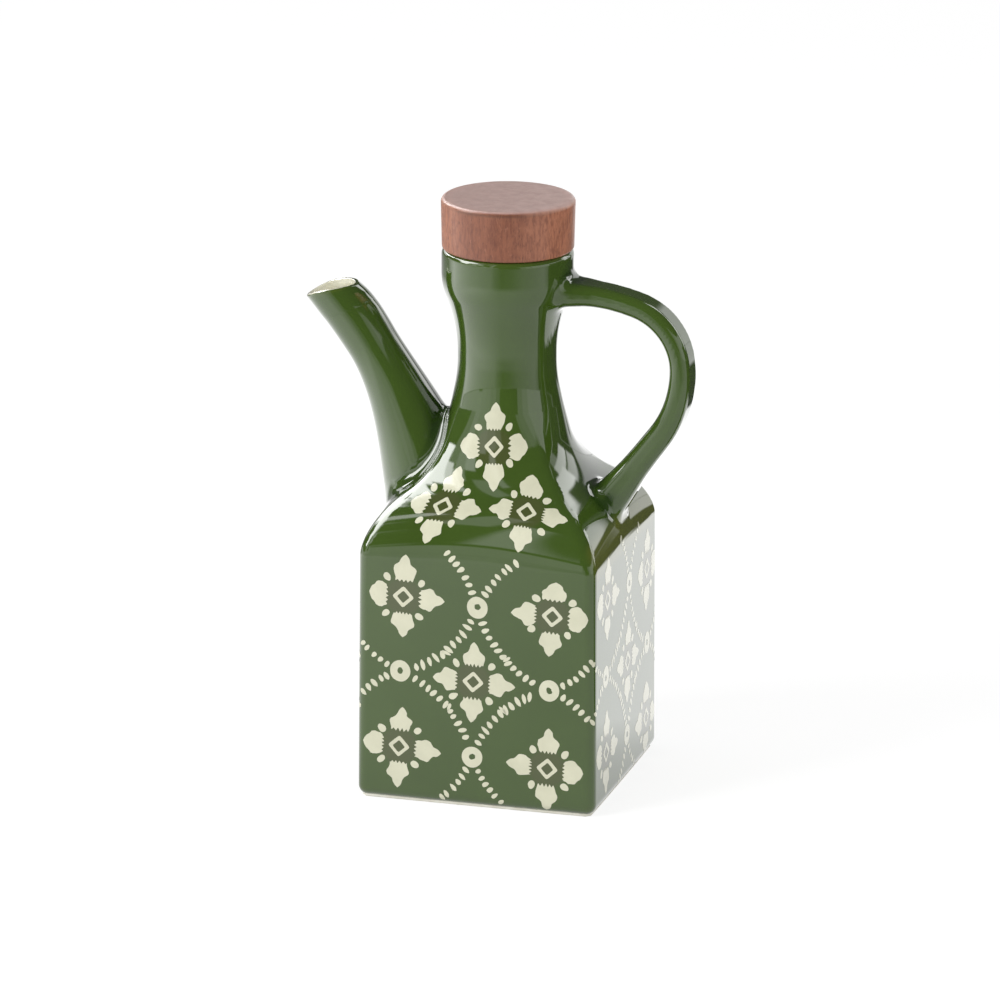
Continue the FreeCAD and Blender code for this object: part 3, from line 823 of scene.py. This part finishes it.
# a petal's half width against the distance from the flower's middle: pointed, and round
PETALS = {
    "p": ([5.2, 6.4, 7.5, 8.6, 9.5, 10.2, 10.8, 11.4, 12.1, 12.8, 13.4, 14.0, 14.4],
          [2.8, 3.1, 3.5, 3.85, 3.9, 3.55, 2.5, 1.85, 1.7, 1.5, 1.15, .6, .1]),
    "r": ([5.2, 6.3, 7.4, 8.6, 9.5, 10.1, 10.7, 11.2, 11.7, 12.1, 12.4],
          [3.0, 3.65, 4.15, 4.3, 4.0, 3.1, 2.6, 2.35, 1.7, .9, .1])}


def wall_point(side, u, z):
    """The point u along the girth from the middle of a side, at a height."""
    u, z = np.asarray(u, float), np.asarray(z, float)
    width, _blend, crown, round_, corner, centre = (float(v[0]) for v in section_sizes(np.array([MID_WALL])))
    flat = round_ * crown
    half = flat + corner * (math.pi / 4 - crown)
    size = np.abs(u)
    over = size > half
    inner = np.where(over, 2 * half - size, size)
    bend = crown + (inner - flat) / corner
    x = np.where(inner <= flat, round_ * np.sin(inner / round_), centre + corner * np.sin(bend))
    y = np.where(inner <= flat, width - round_ * (1 - np.cos(inner / round_)), centre + corner * np.cos(bend))
    x, y = np.where(over, y, x), np.where(over, x, y)
    x, y = np.sign(u) * x, -y
    for _ in range(side):
        x, y = -y, x
    return np.stack([x, y, z], 1)


def rotated(u, v, angle):
    c, s = math.cos(angle), math.sin(angle)
    return np.stack([u * c - v * s, u * s + v * c], 1)


class Stamp:
    """Collects flat patches given in a side's own coordinates, then lays them on the vessel."""

    def __init__(self, seed):
        self.rng = np.random.default_rng(seed)
        self.points, self.faces, self.count = [], [], 0

    def lay(self, place, uv, faces):
        """Adds one patch; place turns a side's own coordinates into points near the vessel."""
        self.points.append(place(uv))
        self.faces += [tuple(self.count + i for i in f) for f in faces]
        self.count += len(uv)

    def blob(self, place, centre, rim):
        """A shape filled from its centre to its rim."""
        n = len(rim)
        uv = [np.asarray(centre, float)[None], centre + (rim - centre) / 2, rim]
        faces = [(0, 1 + j, 1 + (j + 1) % n) for j in range(n)]
        faces += [(1 + j, 1 + n + j, 1 + n + (j + 1) % n, 1 + (j + 1) % n) for j in range(n)]
        self.lay(place, np.concatenate(uv), faces)

    def band(self, place, inner, outer):
        """A closed strip between two lines."""
        n = len(inner)
        middle = (inner + outer) / 2
        faces = [(i * n + j, (i + 1) * n + j, (i + 1) * n + (j + 1) % n, i * n + (j + 1) % n)
                 for i in range(2) for j in range(n)]
        self.lay(place, np.concatenate([inner, middle, outer]), faces)

    def rough(self, n, size):
        """A closed wavering line, for edges that were printed by hand."""
        return 1 + size * sum(self.rng.normal(0, 1 / k) * np.cos(k * circle(n) + self.rng.uniform(0, 6.3))
                              for k in range(2, 7))

    def ring(self, place, centre):
        way = np.stack([np.cos(circle(36)), np.sin(circle(36))], 1)
        off = self.rng.normal(0, .18, 2)
        outer = centre + way * (3.6 * self.rough(36, .022))[:, None] * (1, self.rng.uniform(.98, 1.08))
        inner = centre + off + way * (1.05 * self.rough(36, .1))[:, None]
        self.band(place, inner, outer)

    def dash(self, place, centre, angle, length, width, sharp):
        a = circle(16)
        thin = np.abs(np.sin(a)) ** (1.35 if sharp else 1.0) * np.sign(np.sin(a))
        u = length / 2 * np.cos(a)
        v = width / 2 * thin * (1 - self.rng.uniform(-.3, .3) * np.cos(a))
        edge = self.rough(16, .05)
        u, v = u * edge, v * edge
        self.blob(place, centre, centre + rotated(u, v, angle))

    def trail(self, place, start, end, sag, skip=(5.6, 5.6), sharp=True, long=3.5):
        """A run of dashes along an arc that swells sideways by sag."""
        start, end = np.array(start, float), np.array(end, float)
        chord = end - start
        size = np.linalg.norm(chord)
        along, across = chord / size, np.array([-chord[1], chord[0]]) / size
        rng = self.rng
        t = np.linspace(0, 1, 200)
        line = start + t[:, None] * chord + (4 * sag * t * (1 - t))[:, None] * across
        run = np.concatenate([[0], np.cumsum(np.linalg.norm(np.diff(line, axis=0), axis=1))])
        at = skip[0]
        marks = []
        while at < run[-1] - skip[1] + .8:
            marks.append(at)
            at += 2.62 + rng.normal(0, .16)
        twin = len(marks) // 2 if size > 30 else -1     # a long trail's middle dash was stamped twice
        for n, d in enumerate(marks):
            u, v = np.interp(d, run, line[:, 0]), np.interp(d, run, line[:, 1])
            share = t[min(len(t) - 1, int(len(t) * d / run[-1]))]
            way = chord + 4 * sag * (1 - 2 * share) * across
            angle = math.atan2(way[1], way[0]) + math.pi / 2 + rng.normal(-.12, .15)
            centre = np.array([u, v]) + rng.normal(0, .12, 2)
            self.dash(place, centre, angle, long * rng.uniform(.78, 1.12), rng.uniform(1.4, 1.75), sharp)
            if n == twin:
                self.dash(place, centre + along * 1.38 + across * .4, angle + .22, long, 1.15, sharp)

    def flower(self, place, centre, turn, petals):
        """Four petals on the axes, four drops between them and a hollow diamond in the middle."""
        rng = self.rng
        centre = np.array(centre, float)
        for quarter, kind in enumerate(petals):
            keys, half = PETALS[kind]
            reach = rng.uniform(.95, 1.04)
            wide = rng.uniform(.94, 1.05)
            cols, rows = 27, 18
            share = np.linspace(-1, 1, cols)
            # the block's inner edge is cut in teeth, one side's shoulder higher than the other's
            saw = (share * rng.uniform(2.0, 2.7) + rng.uniform(0, 1)) % 1
            teeth = np.abs(saw * 2 - 1) * rng.uniform(.9, 1.6) * (1 - .5 * np.abs(share))
            base = 5.1 + .4 * share ** 2 + teeth
            tip = keys[-1] * reach
            lean = rng.normal(0, .035)
            stops = np.linspace(0, 1, 9)
            edge = [rng.normal(0, .13, len(stops)) for _ in range(2)]
            slip = [rng.uniform(-.5, .5) for _ in range(2)]
            uv = []
            for i in range(rows):
                f = i / (rows - 1)
                t = base + (tip - base) * f
                late = np.where(share < 0, slip[0], slip[1]) * np.clip((tip - t) / 2.5, 0, 1)
                h = np.interp(t / reach + late, keys, half) * wide
                wob = np.where(share < 0, np.interp(f, stops, edge[0]), np.interp(f, stops, edge[1]))
                s = share * (h + wob * min(1, 3 * (1 - f))) + lean * (t - 5)
                uv.append(centre + rotated(t, s, turn + quarter * math.pi / 2))
            grid = [((i + 1) * cols + j, (i + 1) * cols + j + 1, i * cols + j + 1, i * cols + j)
                    for i in range(rows - 1) for j in range(cols - 1)]
            self.lay(place, np.concatenate(uv), grid)
        for quarter in range(4):
            a = turn + math.pi / 4 + quarter * math.pi / 2 + rng.normal(0, .05)
            drop = centre + rng.uniform(8.0, 8.9) * np.array([math.cos(a), math.sin(a)])
            self.dash(place, drop, a + rng.normal(0, .25), rng.uniform(2.7, 3.4),
                      rng.uniform(2.1, 2.6), False)
        corner = np.array([(1, 0), (0, 1), (-1, 0), (0, -1)], float)
        along = np.linspace(0, 1, 8, False)[:, None]
        line = np.concatenate([corner[i] + (corner[(i + 1) % 4] - corner[i]) * along for i in range(4)])
        soft = line / np.maximum(1, np.linalg.norm(line, axis=1) / .93)[:, None]
        soft = rotated(soft[:, 0], soft[:, 1], turn)
        outer = centre + soft * (3.85 * self.rough(32, .014))[:, None]
        inner = centre + rng.normal(0, .1, 2) + soft * (2.2 * self.rough(32, .025))[:, None]
        self.band(place, inner, outer)

    def finish(self, name, material):
        p = settle(np.concatenate(self.points), PRINT_LIFT)
        piece = new_mesh(name, p, self.faces, [material], normals=outward(p))
        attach(piece, "root")


# flowers, rings and where the trails leave each side: (along the girth, height), in millimetres
FRONT = {
    "flowers": [(-24.9, 71.7, "pprp"), (26.6, 69.3, "rrpp"), (-.6, 44.2, "pppp"), (-26.3, 19.4, "pprp"),
                (25.2, 16.2, "rppp")],
    "rings": [(.8, 70.2), (-25.9, 45.8), (25.7, 43.5), (-.8, 17.9)],
    "ends": [(-10.2, 88.6), (15.3, 87.6), (-40.2, 55.6), (-40.2, 35.6), (40.3, 54.2), (40.3, 33.2),
             (-11.9, 2.2), (10.7, 2.0)],
    "turn": -.045}
RIGHT = {
    "flowers": [(-24.2, 71.3, "pprp"), (27.0, 67.4, "rprp"), (1.6, 42.4, "pppp"), (-25.5, 18.6, "pprp"),
                (26.4, 14.6, "prpp")],
    "rings": [(3.4, 69.4), (-26.2, 45.2), (27.4, 41.0), (1.0, 16.4)],
    "ends": [(-7.4, 88.2), (17.0, 86.8), (-40.3, 54.2), (-40.3, 33.2), (40.3, 51.0), (40.3, 31.0),
             (-10.5, 2.2), (12.7, 2.0)],
    "turn": -.05}


# the trails that leave a side, one to each of its ends: from which ring, how far they swell sideways,
# what is left free at start and end, whether the dashes are sharp, and their length
LEAVING = [(0, -1.4, (5.3, 0), False, 2.9), (0, 1.6, (5.3, 0), True, 3.3),
           (1, 1.3, (5.2, .4), False, 2.4), (1, -1.3, (5.2, .4), True, 3.0),
           (2, -1.5, (5.2, .4), False, 2.9), (2, 1.3, (5.2, .4), False, 2.9),
           (3, 1.3, (5.2, .2), True, 3.0), (3, -1.4, (5.2, .2), False, 2.4)]


def jittered(side, seed, shift):
    """Another side printed with the same blocks, set down by hand."""
    rng = np.random.default_rng(seed)

    def move(u, z):
        return u + shift[0] + rng.normal(0, .5), z + shift[1] + rng.normal(0, .5)

    kinds = ["".join(rng.choice(["p", "p", "r"], 4)) for _ in side["flowers"]]
    out = dict(side)
    out["flowers"] = [(*move(u, z), k) for (u, z, _), k in zip(side["flowers"], kinds)]
    out["rings"] = [move(u, z) for u, z in side["rings"]]
    return out


def stamp_side(number, plan, seed, material):
    """Prints one wall and gives back the middles of its flowers."""
    stamp = Stamp(seed)

    def place(uv):
        return wall_point(number, uv[:, 0], uv[:, 1])

    for u, z, kind in plan["flowers"]:
        stamp.flower(place, (u, z), plan["turn"] + stamp.rng.normal(0, .02), kind)
    for ring in plan["rings"]:
        stamp.ring(place, np.array(ring))
    top, left, right, bottom = plan["rings"]
    stamp.trail(place, top, left, 4.7)
    stamp.trail(place, top, right, -4.7, sharp=False, long=2.9)
    stamp.trail(place, left, bottom, 4.7, sharp=False, long=2.8)
    stamp.trail(place, bottom, right, 4.7)
    for end, (ring, sag, skip, sharp, long) in zip(plan["ends"], LEAVING):
        stamp.trail(place, plan["rings"][ring], end, sag, skip, sharp, long)
    stamp.finish("pattern_" + SIDES[number], material)
    return [place(np.array([(u, z)]))[0] for u, z, _kind in plan["flowers"]]


def spread_place(centre, right, left, up, down):
    """A patch of the shoulder, given by its middle and how far its flower reaches each way."""
    centre, right, left, up, down = (np.array(v, float) for v in (centre, right, left, up, down))

    def place(uv):
        a, b = uv[:, :1] / FLOWER_REACH, uv[:, 1:] / FLOWER_REACH
        return centre + np.where(a > 0, a * (right - centre), -a * (left - centre)) \
            + np.where(b > 0, b * (up - centre), -b * (down - centre))
    return place


# middle, how far each flower reaches right, left, up and down, and its petals
SHOULDER_FLOWERS = [
    ((.7, -21.2, 120.2), (13.0, -17.6, 120.6), (-12.6, -18.6, 118.6), (-.3, -18.0, 134.5),
     (2.5, -27.5, 107.3), "rprp"),
    ((-13.6, -32.6, 101.5), (-.1, -33.6, 101.3), (-27.6, -30.4, 100.8), (-11.6, -22, 113.3),
     (-17, -40.5, 90.5), "pprp"),
    ((14.9, -32, 101.9), (29.4, -32, 100.2), (1.8, -32.5, 102.5), (14.6, -21.1, 113.2),
     (15.2, -40.7, 90.6), "prpp")]


def turned(point, quarters):
    x, y, z = point
    for _ in range(quarters):
        x, y = -y, x
    return x, y, z


def stamp_shoulder(material):
    """Three flowers over the front and three behind."""
    stamp = Stamp(40)
    middles = []
    for quarters in (0, 2):
        for row in SHOULDER_FLOWERS:
            place = spread_place(*[turned(v, quarters) for v in row[:5]])
            stamp.flower(place, (0, 0), stamp.rng.normal(0, .03), row[5])
            middles.append(turned(row[0], quarters))
    stamp.finish("pattern_shoulder", material)
    return middles


# ------------------------------ where the looks change
def mark(piece, name, values):
    layer = piece.data.attributes.new(name, "FLOAT", "POINT")
    layer.data.foreach_set("value", np.asarray(values, np.float32))


def own_points(piece):
    p = np.empty(len(piece.data.vertices) * 3)
    piece.data.vertices.foreach_get("co", p)
    return p.reshape(-1, 3) / MM


def mark_glaze(piece, middles):
    """Where the glaze is thin, with a painted reflection on the right side's top; where it pools, with
    painted shade near other parts; and where it is browned round a flower's middle.
    """
    p = own_points(piece)
    x, y, z = p.T
    # how sharply the surface bends: above 0 on an edge, below 0 in a hollow
    step = 1.6
    bend = -6 * vessel_field(p)
    for i in range(3):
        for sign in (-step, step):
            d = np.zeros(3)
            d[i] = sign
            bend += vessel_field(p + d)
    bend /= step ** 2
    # painted reflection: the top of the right side is painted light olive
    painted_reflection = rise(x - 36.5, 3) * rise(z - 81, 3) * rise(97 - z, 4) * rise(y + 40, 3)
    mark(piece, "thin", np.clip(.22 * rise(bend - .3, .5) + painted_reflection, 0, 1))
    # painted shade where another part of the vessel stands close by
    painted_shade = rise(9.5 - vessel_field(p + 12 * outward(p)), 7)
    mark(piece, "pool", np.clip(rise(-bend - .02, .22) + .8 * painted_shade, 0, 1))
    near = np.full(len(p), 99.0)
    for a, b, c in middles:
        near = np.minimum(near, np.sqrt((x - a) ** 2 + (y - b) ** 2 + (z - c) ** 2))
    mark(piece, "halo", ease(rise(7.6 - near, 2.2)))


def mark_wood(piece):
    """Where the stopper's top is painted pale as a reflection, a painted shade line below the edge at front
    and back, a painted highlight on the edge at the sides and painted sheen on the sides.
    """
    x, y, z = own_points(piece).T
    reach = np.hypot(x - SHIFT, y)
    side = np.abs(x - SHIFT) / np.maximum(reach, 1)
    # painted reflection on the top face
    mark(piece, "top", rise(z - 200.2, .5))
    # painted shade under the top edge at front and back
    mark(piece, "seam", np.clip(1 - np.abs(z - 199.6) / .8, 0, 1) * np.clip(1.5 - 1.6 * side, 0, 1)
         * rise(reach - 20, .8))
    # painted highlight on the top edge at the sides
    mark(piece, "worn", np.clip(1 - np.abs(z - 200.3) / 1.0, 0, 1) * rise(reach - 20.6, .8)
         * np.clip(1.6 * side - .6, 0, 1))
    # painted sheen on the sides facing +X and -X
    mark(piece, "faded", .75 * rise(side - .35, .5) * (reach > 20))


# ------------------------------ the whole scene
scene.view_settings.view_transform = "Standard"
make_camera()
make_world()
make_floor()
make_cards()
soft_box("key", (-1.35, -1.3, 1.0), 27)
soft_box("fill", (1.6, -0.7, 0.8), 10)
green, cream, lining, clay, wood = green_glaze(), cream_print(), cream_glaze(), bare_clay(), red_wood()
middles = []
for number, plan in enumerate((FRONT, RIGHT, jittered(FRONT, 3, (.6, 1.0)), jittered(RIGHT, 4, (-1.5, .6)))):
    middles += stamp_side(number, plan, 11 + number, cream)
middles += stamp_shoulder(cream)
vessel = build_vessel([green])
lip = build_lip([green, lining])
foot = build_foot([clay])
for piece in (vessel, lip, foot):
    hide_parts("ceramic_vessel")
    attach(piece, "root")
mark_glaze(vessel, middles)
mark_glaze(lip, [])
stopper = build_stopper([wood])
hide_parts("wood_stopper")
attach(stopper, "root")
mark_wood(stopper)

bpy.context.view_layer.update()
